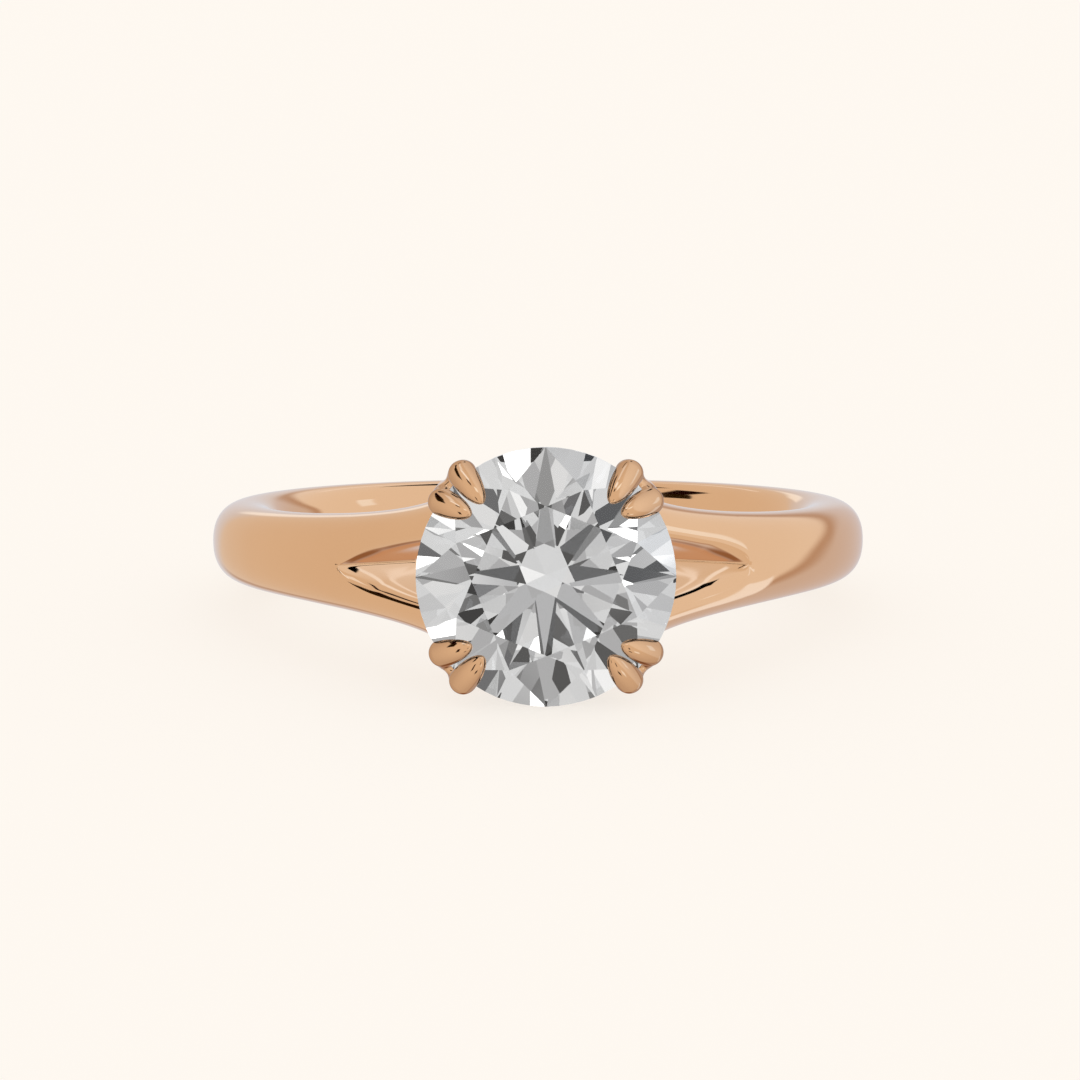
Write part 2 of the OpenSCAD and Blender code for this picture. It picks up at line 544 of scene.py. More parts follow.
    def outline(self, a: float) -> list[Point]:
        """Half section at an angle, from the finger over the side to the crest.

        Args:
            a: Angle from the stone.

        Returns:
            Radius and z of fine points, with what the split takes away left out.
        """
        s = self.sizes
        low, high = s.finger_r - s.comfort_depth, self.crest(a)
        mid, wide = mix(low, high, s.widest_share), self.half_width(a)
        points = []
        for i in range(self.fine + 1):
            t = math.pi * (1 - i / self.fine)
            c = math.copysign(abs(math.cos(t)) ** (2 / s.section_power), math.cos(t))
            r = mid + c * ((high - mid) if c > 0 else (mid - low))
            z = wide * abs(math.sin(t)) ** (2 / s.section_power)
            points.append((max(r, s.finger_r), z))
        points[0], points[-1] = (points[0][0], 0.0), (points[-1][0], 0.0)
        if a >= s.split_start:
            return points
        kept = [p for p in points if p[1] >= self.wedge_half(self.wedge_depth(a, p[0]))]
        first, last = points.index(kept[0]), points.index(kept[-1])
        if first > 0:
            kept.insert(0, self.meeting(a, points[first - 1], kept[0]))
        if last < len(points) - 1:
            kept.append(self.meeting(a, points[last + 1], kept[-1]))
        return kept

    def meeting(self, a: float, inside: Point, outside: Point) -> Point:
        """Point between two others at which the wedge's wall lies.

        Args:
            a: Angle from the stone.
            inside: A point that the wedge takes away.
            outside: Its neighbour that stays.

        Returns:
            The point on the wall.
        """
        for _ in range(HALVINGS):
            half = (mix(inside[0], outside[0], 0.5), mix(inside[1], outside[1], 0.5))
            if half[1] < self.wedge_half(self.wedge_depth(a, half[0])):
                inside = half
            else:
                outside = half
        return outside

    def wall(self, a: float, rim: Point) -> list[Point]:
        """Points down one wall of the split, from its rim to its bottom or to the finger.

        Args:
            a: Angle from the stone.
            rim: The rim's point on the outside.

        Returns:
            Radius and z of each point below the rim.
        """
        s = self.sizes
        through = a < s.split_through
        end = s.finger_r if through else self.bottom_radius(a)
        path = []
        for i in range(self.wall_fine + 1):
            r = mix(rim[0], end, 1 - (1 - i / self.wall_fine) ** 2)
            path.append((r, self.wedge_half(self.wedge_depth(a, r))))
        if not through:
            path[-1] = (end, 0.0)
        total = reaches(path)[-1]
        edge = min(self.edge, self.wall_edge * total)
        if through:
            below = [*(mix(edge, total - edge, k / 3) for k in (1, 2)), total - edge]
        else:
            arc = min(self.arc_reach * s.split_round, self.arc_most * total)
            below = [mix(edge, total - arc, 0.5), total - arc, total - arc * self.arc_step]
        return along(path, 0, 1, [edge, *below, total])

    def columns(self, a: float) -> list[Point]:
        """One row of the sheet: the half section's points, then those down the split's wall.

        Args:
            a: Angle from the stone.

        Returns:
            Radius and z of each point.
        """
        s = self.sizes
        path = self.outline(a)
        reach = reaches(path)
        land = reach[max(i for i, p in enumerate(path) if p[0] <= s.finger_r + TINY)]
        side = reach[max(range(len(path)), key=lambda i: path[i][1])]
        total = reach[-1]
        narrow = ease((self.land_fan - a) / (self.land_fan - s.split_through))
        shares = self.spacing(self.land_steps, land, narrow)
        row = along(path, 0, land, [1 - share for share in reversed(shares)])
        row += along(path, land, side, [(k + 1) / self.side_steps for k in range(self.side_steps)])
        narrow = ease((self.top_fan - a) / (self.top_fan - s.split_start))
        row += along(path, side, total, self.spacing(self.top_steps, total - side, narrow)[1:])
        if a >= s.split_start:
            return row + [row[-1]] * self.wall_steps
        row += self.wall(a, row[-1])
        if a <= s.split_through:
            row[-1] = row[0]
        return row

    def spacing(self, steps: int, span: float, tight: float) -> list[float]:
        """Shares of a stretch whose last step narrows to hold an edge crisp.

        Args:
            steps: Number of steps.
            span: The stretch's length.
            tight: 0 for even steps, 1 for a last step as short as the edge.

        Returns:
            The shares from 0 to 1, with both ends.
        """
        last = mix(1 / steps, min(self.edge / span, self.edge_most / steps), tight)
        return [(1 - last) * k / (steps - 1) for k in range(steps)] + [1.0]

    def angles(self) -> list[float]:
        """Choose where the rows lie.

        Returns:
            Their angles, from the back of the band to the shoulder's end.
        """
        s = self.sizes
        shoulder = sorted((*self.shoulder_rows, s.split_start, s.split_through), reverse=True)
        rows = [180 - 90 * k / self.back_rows for k in range(self.back_rows)]
        rows += [mix(90, s.rise_start, k / self.side_rows) for k in range(self.side_rows)]
        rows += [mix(s.rise_start, shoulder[0], k / self.rise_rows) for k in range(self.rise_rows)]
        return rows + shoulder + [s.head_angle + math.degrees(self.end_round / self.end_at)]

    def build(self) -> bpy.types.Object:
        """Model a quarter of the shank as a grid, mirror it twice and smooth it.

        Returns:
            The closed shank.
        """
        rows = [(a, self.columns(a)) for a in self.angles()]
        rows += self.rounded_end(*rows[-1])
        placed = [[Vector((*spot_at(a, r), z)) for r, z in row] for a, row in rows]
        piece = lay_sheet("shank", placed)
        self.cap(piece)
        apply_modifier(
            piece, "MIRROR", use_axis=(True, False, True), use_clip=True, merge_threshold=TINY)
        close_up(piece)
        for _ in range(self.smooth):
            apply_modifier(piece, "SUBSURF", levels=1, render_levels=1)
            self.soften_rims(piece)
        return piece

    def soften_rims(self, piece: bpy.types.Object) -> None:
        """Round the splits' rims, as the polisher's wheel leaves them.

        Args:
            piece: The whole shank.
        """
        rim = KDTree(self.rim_fine)
        for i in range(self.rim_fine):
            a = mix(self.rim_end, self.sizes.split_start, i / (self.rim_fine - 1))
            r, z = self.outline(a)[-1]
            rim.insert((*spot_at(a, r), z), i)
        rim.balance()
        pick(piece)
        group = piece.vertex_groups.new(name="rim")
        for point in piece.data.vertices:
            x, y, z = point.co
            near = ease(self.rim_start - rim.find((abs(x), y, abs(z)))[2] / self.rim_reach)
            if near > 0:
                group.add([point.index], near, "REPLACE")
        apply_modifier(
            piece, "SMOOTH", factor=0.5, iterations=self.rim_passes, vertex_group="rim")
        piece.vertex_groups.clear()

    def rounded_end(self, a: float, row: list[Point]) -> list[tuple[float, list[Point]]]:
        """Rows that round the shoulder's end.

        Args:
            a: Angle of the last full row.
            row: Its points, a closed outline.

        Returns:
            Angles and points of the further rows.
        """
        count = len(row) - 1
        further = []
        for turn in map(math.radians, self.end_turns):
            inwards = self.end_round * (1 - math.cos(turn)) * self.end_inset
            shrunk = []
            for k in range(count):
                p, before, after = row[k], row[(k - 1) % count], row[(k + 1) % count]
                dx, dy = after[0] - before[0], after[1] - before[1]
                size = math.hypot(dx, dy)
                shrunk.append((p[0] + dy / size * inwards, p[1] - dx / size * inwards))
            ahead = math.degrees(self.end_round * math.sin(turn) / self.end_at)
            further.append((a - ahead, shrunk + shrunk[:1]))
        return further

    def cap(self, piece: bpy.types.Object) -> None:
        """Close the shoulder's end with one face, a little inside its last row.

        Args:
            piece: The quarter of the shank.
        """
        with editing(piece, "DESELECT"):
            bpy.ops.mesh.select_mode(type="EDGE")
        mesh = piece.data
        uses = Counter(key for face in mesh.polygons for key in face.edge_keys)
        for edge in mesh.edges:
            ends = [mesh.vertices[i].co for i in edge.vertices]
            at_end = all(abs(p.x) > TINY and p.z > TINY and p.x < self.cap_within for p in ends)
            edge.select = at_end and uses[edge.key] == 1
        bpy.ops.object.mode_set(mode="EDIT")
        bpy.ops.mesh.edge_face_add()
        bpy.ops.mesh.inset(thickness=self.cap_inset)
        bpy.ops.mesh.select_mode(type="VERT")
        bpy.ops.object.mode_set(mode="OBJECT")


@dataclass(frozen=True)
class ClawStation:
    """One ring of a claw's tube.

    Attributes:
        out: Distance from the stone's axis, as a share of the stone's radius.
        up: Height over the girdle's middle.
        fat: Share of the claw's radius.
        apart: Share of the angle between the two claws of a pair.
    """

    out: float
    up: float
    fat: float
    apart: float


@dataclass
class Head:
    """The round base and four pairs of claws, modelled round the stone's axis with the table up.

    Where a size has two values, they are for a pair's first and second claw.

    Attributes:
        sizes: The ring's sizes.
        around: Points round a claw's tube.
        steps: Rings from one station to the next.
        dome: Degrees up the dome that closes a tube, for each of its rings.
        spread: Share of the pair's angle that the claws stand apart.
        web_width: Width of the web between them, as a share of its thickness.
        web_dome: Height of the web's dome, as a share of its radius.
        bud_r: Radius of the drop that a claw ends in.
        bud_rings: Its rings.
        bud_out: Distance of its thick end from the stone's axis, as a share of the stone's radius.
        bud_turn: Degrees round the stone's axis at which its thick end lies.
        bud_up: Height of its thick end over the girdle's middle.
        tip_out: Distance of its tip, as a share of the stone's radius.
        tip_turn: Degrees at which its tip lies.
        tip_lift: Height of its tip over the crown.
        tip_fullness: Power of its outline, less for a fuller tip.
        tip_ease: Power that spaces its rings.
        base_edge: Radius of the round base's edges.
        base_bevel: Steps of that rounding.
        base_sink: How far the base first reaches past the finger's surface.
        turned: Points round the base.
        drilled: Points round the finger's drill.
        joint_reach: Distance from a bud within which its stem melts into it.
        joint_fade: Width over which that starts.
        joint_top: Height over the girdle's middle at which it ends.
        joint_passes: Its strength.
    """

    sizes: RingSizes
    around: int = 20
    steps: int = 3
    dome: tuple[float, ...] = (28, 54, 76, 90)
    spread: float = 0.95
    web_width: float = 1.5
    web_dome: float = 0.45
    bud_r: float = 0.405
    bud_rings: int = 36
    bud_out: tuple[float, float] = (0.985, 1.02)
    bud_turn: tuple[float, float] = (36.2, 51.2)
    bud_up: float = 0.02
    tip_out: tuple[float, float] = (0.762, 0.762)
    tip_turn: tuple[float, float] = (41.0, 50.6)
    tip_lift: float = 0.12
    tip_fullness: float = 0.58
    tip_ease: float = 0.8
    base_edge: float = 0.09
    base_bevel: int = 4
    base_sink: float = 1.0
    turned: int = 128
    drilled: int = 512
    joint_reach: float = 0.95
    joint_fade: float = 0.25
    joint_top: float = 0.05
    joint_passes: int = 25

    @property
    def foot(self) -> float:
        """Height of the middle of the base over the girdle's middle, which is below it."""
        return self.sizes.finger_r + self.sizes.base_h / 2 - self.sizes.girdle_mid

    def stations(self, side: int) -> list[ClawStation]:
        """Set out a stem from its foot in the base up into the claw's bud.

        Args:
            side: -1 or 1, for the claw's side of the pair's middle.

        Returns:
            The stem's rings.
        """
        s, out = self.sizes, self.bud_out[side > 0]
        return [
            ClawStation((s.base_r - s.base_wall / 2) / s.stone_r, self.foot, 1.2, 0.2),
            ClawStation(0.76, self.foot * 0.62, 1.22, 0.35),
            ClawStation(0.925, self.foot * 0.3, 1.22, 0.5),
            ClawStation(out - 0.01, self.foot * 0.12, 1.1, 0.72),
            ClawStation(out, self.bud_up - 0.12, 0.93, 0.95),
        ]

    def web_stations(self) -> list[ClawStation]:
        """Set out the web that joins the two claws of a pair up to the girdle.

        Returns:
            The web's rings.
        """
        return [
            ClawStation(0.74, self.foot * 0.66, 0.9, 0),
            ClawStation(0.87, self.foot * 0.42, 0.95, 0),
            ClawStation(0.95, self.foot * 0.2, 1.0, 0),
            ClawStation(0.975, self.foot * 0.09, 0.92, 0),
            ClawStation(0.975, self.foot * 0.04, 0.8, 0),
        ]

    def bud_line(self, side: int) -> tuple[Vector, Vector]:
        """Lay the middle line of the drop that a claw ends in, over the girdle onto the crown.

        Args:
            side: -1 or 1, for the claw's side of the pair's middle.

        Returns:
            Its thick end and its tip, in the pair between X and Y.
        """
        s, which = self.sizes, side > 0
        out, tip = self.bud_out[which] * s.stone_r, self.tip_out[which] * s.stone_r
        crown = (s.stone_r - tip) * math.tan(math.radians(s.crown_angle))
        ends = []
        for turn, far, high in ((self.bud_turn[which], out, self.bud_up),
                                (self.tip_turn[which], tip, s.girdle_t / 2 + crown + self.tip_lift)):
            turn = math.radians(turn)
            ends.append(Vector((far * math.cos(turn), far * math.sin(turn), high)))
        return ends[0], ends[1]

    def bud(self, side: int) -> bpy.types.Object:
        """Turn the drop that a claw ends in and lay it over the girdle onto the crown.

        Args:
            side: -1 or 1, for the claw's side of the pair's middle.

        Returns:
            The closed drop.
        """
        start, end = self.bud_line(side)
        reach = (end - start).length
        bpy.ops.object.select_all(action="DESELECT")
        bpy.ops.mesh.primitive_uv_sphere_add(
            segments=self.around * 2, ring_count=self.bud_rings, radius=1)
        piece = start_piece("bud")
        for point in piece.data.vertices:
            x, y, z = point.co
            if z <= 0:
                point.co = Vector((x, y, z)) * self.bud_r
                continue
            level = z**self.tip_ease
            width = self.bud_r * (1 - level * level) ** self.tip_fullness
            flat = math.hypot(x, y)
            outwards = Vector((x, y, 0)) * (width / flat if flat > TINY else 0)
            point.co = outwards + Vector((0, 0, level * reach))
        lean = (end - start).normalized().to_track_quat("Z", "Y").to_matrix().to_4x4()
        piece.data.transform(Matrix.Translation(start) @ lean)
        close_up(piece)
        return piece

    def line(self, stations: list[ClawStation]) -> list[Hoop]:
        """A middle line through stations, with smooth steps between them.

        Args:
            stations: The rings that the line passes through.

        Returns:
            For each ring its distance from the axis, height, radius and share of the pair's angle.
        """
        s = self.sizes
        knots = [(k.out * s.stone_r, k.up, k.fat * s.claw_r, k.apart) for k in stations]
        found = []
        for i in range(len(knots) - 1):
            p0, p1, p2 = knots[max(0, i - 1)], knots[i], knots[i + 1]
            p3 = knots[min(len(knots) - 1, i + 2)]
            for k in range(self.steps):
                t = k / self.steps
                found.append(tuple(
                    0.5 * (2 * b + (c - a) * t + (2 * a - 5 * b + 4 * c - d) * t * t
                           + (3 * b - a - 3 * c + d) * t**3)
                    for a, b, c, d in zip(p0, p1, p2, p3)))
        return found + [knots[-1]]

    def domed(self, line: list[Hoop], rise: float) -> list[Hoop]:
        """Close a middle line's end with a dome.

        Args:
            line: The tube's rings.
            rise: The dome's height, as a share of its radius.

        Returns:
            The tube's rings and the dome's.
        """
        (x0, y0, *_), (x1, y1, radius, apart) = line[-2:]
        run = math.hypot(x1 - x0, y1 - y0)
        ahead = ((x1 - x0) / run, (y1 - y0) / run)
        further = []
        for t in map(math.radians, self.dome):
            reach = radius * rise * math.sin(t)
            spot = (x1 + ahead[0] * reach, y1 + ahead[1] * reach)
            further.append((*spot, radius * math.cos(t), apart))
        return line + further

    def claw(self, name: str, stations: list[ClawStation], side: int) -> bpy.types.Object:
        """Model one tube of the pair that stands between X and Y.

        Args:
            name: The piece's name.
            stations: The rings that the tube passes through.
            side: -1 or 1, for the claw's side of the pair's middle, or 0 for the web.

        Returns:
            The closed tube.
        """
        s, line = self.sizes, self.domed(self.line(stations), 1.0 if side else self.web_dome)
        swell = 3 / (2 + math.cos(math.tau / self.around))  # what the subdivision takes off again
        rows = []
        for i, (out, up, radius, apart) in enumerate(line):
            before, after = line[max(0, i - 1)], line[min(len(line) - 1, i + 1)]
            lean = math.atan2(after[1] - before[1], after[0] - before[0])
            turn = math.radians(45 + side * self.spread * s.pair_angle / 2 * apart)
            ring = []
            for k in range(self.around + 1):
                q = math.tau * (k % self.around) / self.around
                far = out + radius * swell * math.cos(q) * math.sin(lean)
                high = up - radius * swell * math.cos(q) * math.cos(lean)
                wide = radius * swell * math.sin(q) * (1 if side else self.web_width)
                ring.append(Vector((far * math.cos(turn) - wide * math.sin(turn),
                                    far * math.sin(turn) + wide * math.cos(turn), high)))
            rows.append(ring)
        piece = lay_sheet(name, rows)
        close_openings(piece)
        apply_modifier(piece, "SUBSURF", levels=1, render_levels=1)
        return piece

    def base(self) -> bpy.types.Object:
        """Turn the round base from a rounded profile.

        Returns:
            The closed base, which still reaches past the finger's surface.
        """
        s = self.sizes
        low = s.finger_r - s.girdle_mid - self.base_sink
        high = s.finger_r - s.girdle_mid + s.base_h
        bpy.ops.object.select_all(action="DESELECT")
        bpy.ops.mesh.primitive_plane_add(size=1)
        piece = start_piece("base")
        with editing(piece):
            bpy.ops.transform.resize(value=(s.base_wall, high - low, 1))
            bpy.ops.mesh.bevel(
                offset=self.base_edge, segments=self.base_bevel, affect="VERTICES")
        middle = Matrix.Translation((s.base_r - s.base_wall / 2, 0, (low + high) / 2))
        piece.data.transform(middle @ UPRIGHT)
        with editing(piece):
            bpy.ops.mesh.delete(type="ONLY_FACE")
            bpy.ops.mesh.select_all(action="SELECT")
            bpy.ops.mesh.spin(
                steps=self.turned, angle=math.tau, center=(0, 0, 0), axis=(0, 0, 1))
        close_up(piece)
        return piece

    def soften_joints(self, piece: bpy.types.Object) -> None:
        """Melt each bud into its stem below the girdle, as solder and polish do.

        Args:
            piece: The fused head, still round the stone's axis.
        """
        starts = [self.bud_line(side)[0] for side in (-1, 1)]
        group = piece.vertex_groups.new(name="joint")
        for vertex in piece.data.vertices:
            x, y, z = vertex.co
            near = min((Vector((abs(x), abs(y), z)) - start).length for start in starts)
            weight = ease((self.joint_reach - near) / self.joint_fade)
            weight *= ease((self.joint_top - z) / self.joint_fade)
            if weight > 0:
                group.add([vertex.index], weight, "REPLACE")
        apply_modifier(
            piece, "SMOOTH", factor=0.5, iterations=self.joint_passes, vertex_group="joint")

    def build(self) -> bpy.types.Object:
        """Model the head and trim it where the finger goes through.

        Returns:
            The base with all eight claws, in the ring's own frame.
        """
        s = self.sizes
        piece = self.base()
        parts = [self.claw("claw", self.stations(side), side) for side in (-1, 1)]
        parts += [self.claw("web", self.web_stations(), 0)] + [self.bud(side) for side in (-1, 1)]
        for one in parts:
            for across, along_finger in ((1, 1), (-1, 1), (1, -1), (-1, -1)):
                copy = one.copy()
                copy.data = one.data.copy()
                bpy.context.scene.collection.objects.link(copy)
                copy.data.transform(Matrix.Diagonal((across, along_finger, 1, 1)))
                close_up(copy)
                act_on(piece, copy, Operation.ADD)
            bpy.data.objects.remove(one)
        self.soften_joints(piece)
        piece.data.transform(Matrix.Translation((0, -s.girdle_mid, 0)) @ UPRIGHT)
        bpy.ops.object.select_all(action="DESELECT")
        bpy.ops.mesh.primitive_cylinder_add(
            vertices=self.drilled, radius=s.finger_r, depth=4 * s.stone_r)
        act_on(piece, start_piece("finger_drill"), Operation.CUT)
        return piece


# Finishes


def start_material(name: str) -> bpy.types.Material:
    """Make a material that has nodes.

    Args:
        name: The material's name.

    Returns:
        The new material.
    """
    made = bpy.data.materials.new(name)
    made.use_nodes = True
    return made


@dataclass(frozen=True)
class NodeSheet:
    """The node tree of a material or of the world, with short ways to add nodes to it."""

    tree: bpy.types.NodeTree

    def add(self, kind: str, sockets: dict[str | int, object], out: str | int = 0,
            **choices: object) -> Socket:
        """Add a node and fill its inputs.

        Args:
            kind: The node's type, without the word Shader.
            sockets: A value or another node's output for each input that is set.
            out: Which of its outputs is wanted.
            **choices: Values for the node's own properties.

        Returns:
            That output.
        """
        node = self.tree.nodes.new(f"ShaderNode{kind}")
        for key, value in choices.items():
            setattr(node, key, value)
        self.fill(node, sockets)
        return node.outputs[out]

    def fill(self, node: bpy.types.Node, sockets: dict[str | int, object]) -> None:
        """Give a node's inputs their values or their links.

        Args:
            node: The node to fill.
            sockets: A value or another node's output for each input, by name or by number.
        """
        for key, value in sockets.items():
            if isinstance(value, Socket):
                self.tree.links.new(value, node.inputs[key])
            else:
                node.inputs[key].default_value = value

    def fill_shader(self, sockets: dict[str | int, object]) -> None:
        """Give the material's own shader its values and links."""
        self.fill(self.tree.nodes["Principled BSDF"], sockets)

    def sum_up(self, how: str, *values: object) -> Socket:
        """Do one step of arithmetic, such as "MULTIPLY"."""
        return self.add("Math", dict(enumerate(values)), operation=how)

    def dot(self, direction: Socket, axis: Vector) -> Socket:
        """Share of a direction that goes along an axis."""
        sockets = {0: direction, 1: tuple(axis)}
        return self.add("VectorMath", sockets, "Value", operation="DOT_PRODUCT")

    def noise(self, scale: float, detail: float) -> Socket:
        """Noise on the piece's own coordinates, so many waves to a metre."""
        place = self.add("TexCoord", {}, "Object")
        return self.add("TexNoise", {"Vector": place, "Scale": scale, "Detail": detail})

    def spread(self, value: Socket, limits: Point, ends: Point = (0.0, 1.0),
               slope: str = "LINEAR") -> Socket:
        """Spread a value between two limits over two others.

        Args:
            value: The value.
            limits: Where the two ends are reached.
            ends: What comes out at each limit and past it.
            slope: "LINEAR", or "SMOOTHSTEP" for soft ends.

        Returns:
            The spread value.
        """
        names = ("From Min", "From Max", "To Min", "To Max")
        sockets = {"Value": value, **dict(zip(names, (*limits, *ends)))}
        return self.add("MapRange", sockets, interpolation_type=slope)

    def blend(self, share: Socket, first: object, second: object) -> Socket:
        """Blend two colours."""
        colours = [(*c, 1) if isinstance(c, tuple) else c for c in (first, second)]
        return self.add("MixRGB", {"Fac": share, "Color1": colours[0], "Color2": colours[1]})


@dataclass(frozen=True)
class PolishedGold:
    """Rose gold from the polishing wheel: faint waves, an uneven gloss, and painted shade on the
    claws where they turn away.

    Attributes:
        base: Colour of the bright metal.
        worn: Its colour where the wheel left it a little duller.
        deep: Painted shade: the colour of the claws where they turn away.
        edge: Tint of what the claws' outermost rims mirror, darkened as painted shade.
        turned: How far the claws turn away where the painted shade begins and where it is full.
        gloss: Least and greatest roughness.
        tone_scale: Waves to a metre of the change of tone.
        tone_limits: Noise at which the tone is bright and at which it is worn.
        gloss_scale: Waves to a metre of the uneven gloss.
        gloss_limits: Noise at which the roughness is least and greatest.
        wave_scale: Waves to a metre of the wheel's waves.
        wave_height: Their height in metres.
        wave_strength: How much of it shows.
    """

    base: Colour = (0.865, 0.555, 0.334)
    worn: Colour = (0.85, 0.54, 0.322)
    # Painted shade on the claws: their colour where they turn away, and the darker tint of their
    # rims' reflection.
    deep: Colour = (0.67, 0.415, 0.25)
    edge: Colour = (0.74, 0.66, 0.6)
    turned: Point = (0.12, 0.42)
    gloss: Point = (0.045, 0.085)
    tone_scale: float = 260.0
    tone_limits: Point = (0.35, 0.65)
    gloss_scale: float = 900.0
    gloss_limits: Point = (0.3, 0.7)
    wave_scale: float = 4200.0
    wave_height: float = 0.00001
    wave_strength: float = 0.015

    def material(self) -> bpy.types.Material:
        """Wire the gold.

        Returns:
            Its material, which reads the attribute "claw" of a piece for where it paints shade on
            the claws.
        """
        made = start_material("polished_rose_gold")
        sheet = NodeSheet(made.node_tree)
        claw = sheet.add("Attribute", {}, "Fac", attribute_name="claw")
        facing = sheet.add("LayerWeight", {"Blend": 0.5}, "Facing")
        tone = sheet.blend(
            sheet.spread(sheet.noise(self.tone_scale, 2), self.tone_limits), self.base, self.worn)
        # Painted shade: the claws darken towards deep where their surface turns away from the view.
        rounding = sheet.sum_up("MULTIPLY", claw, sheet.spread(facing, self.turned))
        roughness = sheet.spread(sheet.noise(self.gloss_scale, 3), self.gloss_limits, self.gloss)
        sheet.fill_shader({
            "Base Color": sheet.blend(rounding, tone, self.deep),
            "Metallic": 1.0,
            "Roughness": roughness,
            # Painted shade: the claws' rims mirror their surroundings darker, tinted by edge.
            "Specular Tint": sheet.blend(claw, (1.0, 1.0, 1.0), self.edge),
            "Normal": sheet.add("Bump", {
                "Strength": self.wave_strength,
                "Distance": self.wave_height,
                "Height": sheet.noise(self.wave_scale, 3),
            }),
        })
        return made


@dataclass(frozen=True)
class ClearDiamond:
    """A nearly colourless stone, with the faintest zones of tone from its growth.

    Attributes:
        index: Index of refraction.
        clear: Colour of its clearest zones.
        zoned: Colour of the others.
        gloss: Tint of what its facets mirror.
        zone_scale: Zones to a metre.
        zone_limits: Noise at which a zone is clear and at which it is toned.
    """

    index: float = 2.417
    clear: Colour = (1.0, 1.0, 1.0)
    zoned: Colour = (0.985, 0.988, 0.99)
    gloss: Colour = (0.35, 0.37, 0.40)
    zone_scale: float = 420.0
    zone_limits: Point = (0.4, 0.6)

    def material(self) -> bpy.types.Material:
        """Wire the stone.

        Returns:
            Its material.
        """
        made = start_material("clear_diamond")
        sheet = NodeSheet(made.node_tree)
        zones = sheet.spread(sheet.noise(self.zone_scale, 1), self.zone_limits)
        sheet.fill_shader({
            "Base Color": sheet.blend(zones, self.clear, self.zoned),
            "Roughness": 0.0,
            "IOR": self.index,
            "Transmission Weight": 1.0,
            "Specular Tint": (*self.gloss, 1),
        })
        return made


@dataclass(frozen=True)
class PaleFloor:
    """A matt floor that shines a little by itself, so that only a faint shadow shows on it.

    Attributes:
        base: Colour in the studio's light.
        shine: Colour of its own light.
        strength: Strength of its own light.
        roughness: How matt it is.
    """

    base: Colour = (0.18, 0.174, 0.165)
    shine: Colour = (1.0, 0.945, 0.88)
    strength: float = 0.815
    roughness: float = 0.5

    def material(self) -> bpy.types.Material:
        """Wire the floor.

        Returns:
            Its material.
        """
        made = start_material("pale_floor")
        NodeSheet(made.node_tree).fill_shader({
            "Base Color": (*self.base, 1),
            "Roughness": self.roughness,
            "Specular IOR Level": 0.0,
            "Emission Color": (*self.shine, 1),
            "Emission Strength": self.strength,
        })
        return made


# The ring's two pieces


@dataclass
class Mounting:
    """The whole metal body: shank, base and claws in one, with a seat cut for the stone.

    Attributes:
        sizes: The ring's sizes.
        rest: How the ring lies.
        finish: Its gold.
        smooth_angle: Edges flatter than this many degrees are shaded smooth.
        gap: Gap between the stone and its seat.
        claw_reach: Distance from a bud's middle line within which metal counts as claw.
        claw_fade: Width over which that starts.
    """

    sizes: RingSizes
    rest: RestPlace
    finish: PolishedGold = PolishedGold()
    smooth_angle: float = 42.0
    gap: float = 0.012
    claw_reach: float = 0.62
    claw_fade: float = 0.14

    def seat_tool(self) -> bpy.types.Object:
        """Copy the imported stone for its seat.

        Returns:
            The copy, a hair larger, in the ring's own frame and in millimetres.
        """
        s, r = self.sizes, self.rest
        tool = bpy.data.objects.new("seat_tool", frame["nodes"]["center_stone"].data.copy())
        bpy.context.scene.collection.objects.link(tool)
        tool.data.transform(
            Matrix.Rotation(math.radians(r.tilt), 4, "X")
            @ Matrix.Translation((0, -r.back, -r.lift))
            @ Matrix.Scale(1 / MM, 4))
        middle = Matrix.Translation((0, -s.girdle_mid, 0))
        grow = Matrix.Scale(1 + self.gap / s.stone_r, 4)
        tool.data.transform(middle @ grow @ middle.inverted())
        close_up(tool)
        return tool

    def mark_claws(self, piece: bpy.types.Object) -> None:
        """Store on each vertex how much it belongs to a claw, for where the gold paints shade on the
        claws.

        Args:
            piece: The fused body, in the ring's own frame.
        """
        buds = [Head(self.sizes).bud_line(side) for side in (-1, 1)]
        shares = []
        for vertex in piece.data.vertices:
            x, y, z = vertex.co
            spot = Vector((abs(x), abs(z), -y - self.sizes.girdle_mid))
            nearest = self.claw_reach
            for start, end in buds:
                share = clamp01(intersect_point_line(spot, start, end)[1])
                nearest = min(nearest, (spot - start.lerp(end, share)).length)
            shares.append(ease((self.claw_reach - nearest) / self.claw_fade))
        # This share places the gold's painted shade on the claws.
        piece.data.attributes.new("claw", "FLOAT", "POINT").data.foreach_set("value", shares)

    def dress(self, piece: bpy.types.Object) -> None:
        """Give the body its gold and its smooth shading.

        Args:
            piece: The finished shape.
        """
        pick(piece)
        bpy.ops.object.shade_smooth_by_angle(angle=math.radians(self.smooth_angle))
        piece.visible_glossy = piece.visible_transmission = False
        piece.data.materials.clear()
        piece.data.materials.append(self.finish.material())

    def build(self) -> bpy.types.Object:
        """Fuse the parts, cut the seat, lay the mounting down and dress it.

        Returns:
            The finished metal body.
        """
        piece = Shank(self.sizes).build()
        act_on(piece, Head(self.sizes).build(), Operation.ADD)
        act_on(piece, self.seat_tool(), Operation.CUT)
        drop_specks(piece)
        self.mark_claws(piece)
        self.rest.settle(piece)
        piece.name = piece.data.name = "mounting_body"
        self.dress(piece)
        return piece


@dataclass(frozen=True)
class Stone:
    """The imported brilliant, which keeps its facets and is given its finish."""

    node: str = "center_stone"
    finish: ClearDiamond = ClearDiamond()

    def build(self) -> bpy.types.Object:
        """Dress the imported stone.

        Returns:
            The stone.
        """
        stone = frame["nodes"][self.node]
        stone.material_slots[0].material = self.finish.material()
        return stone


# The studio


def grey(level: float) -> Colour:
    """Colour with the same level in all three channels."""
    return (level,) * 3


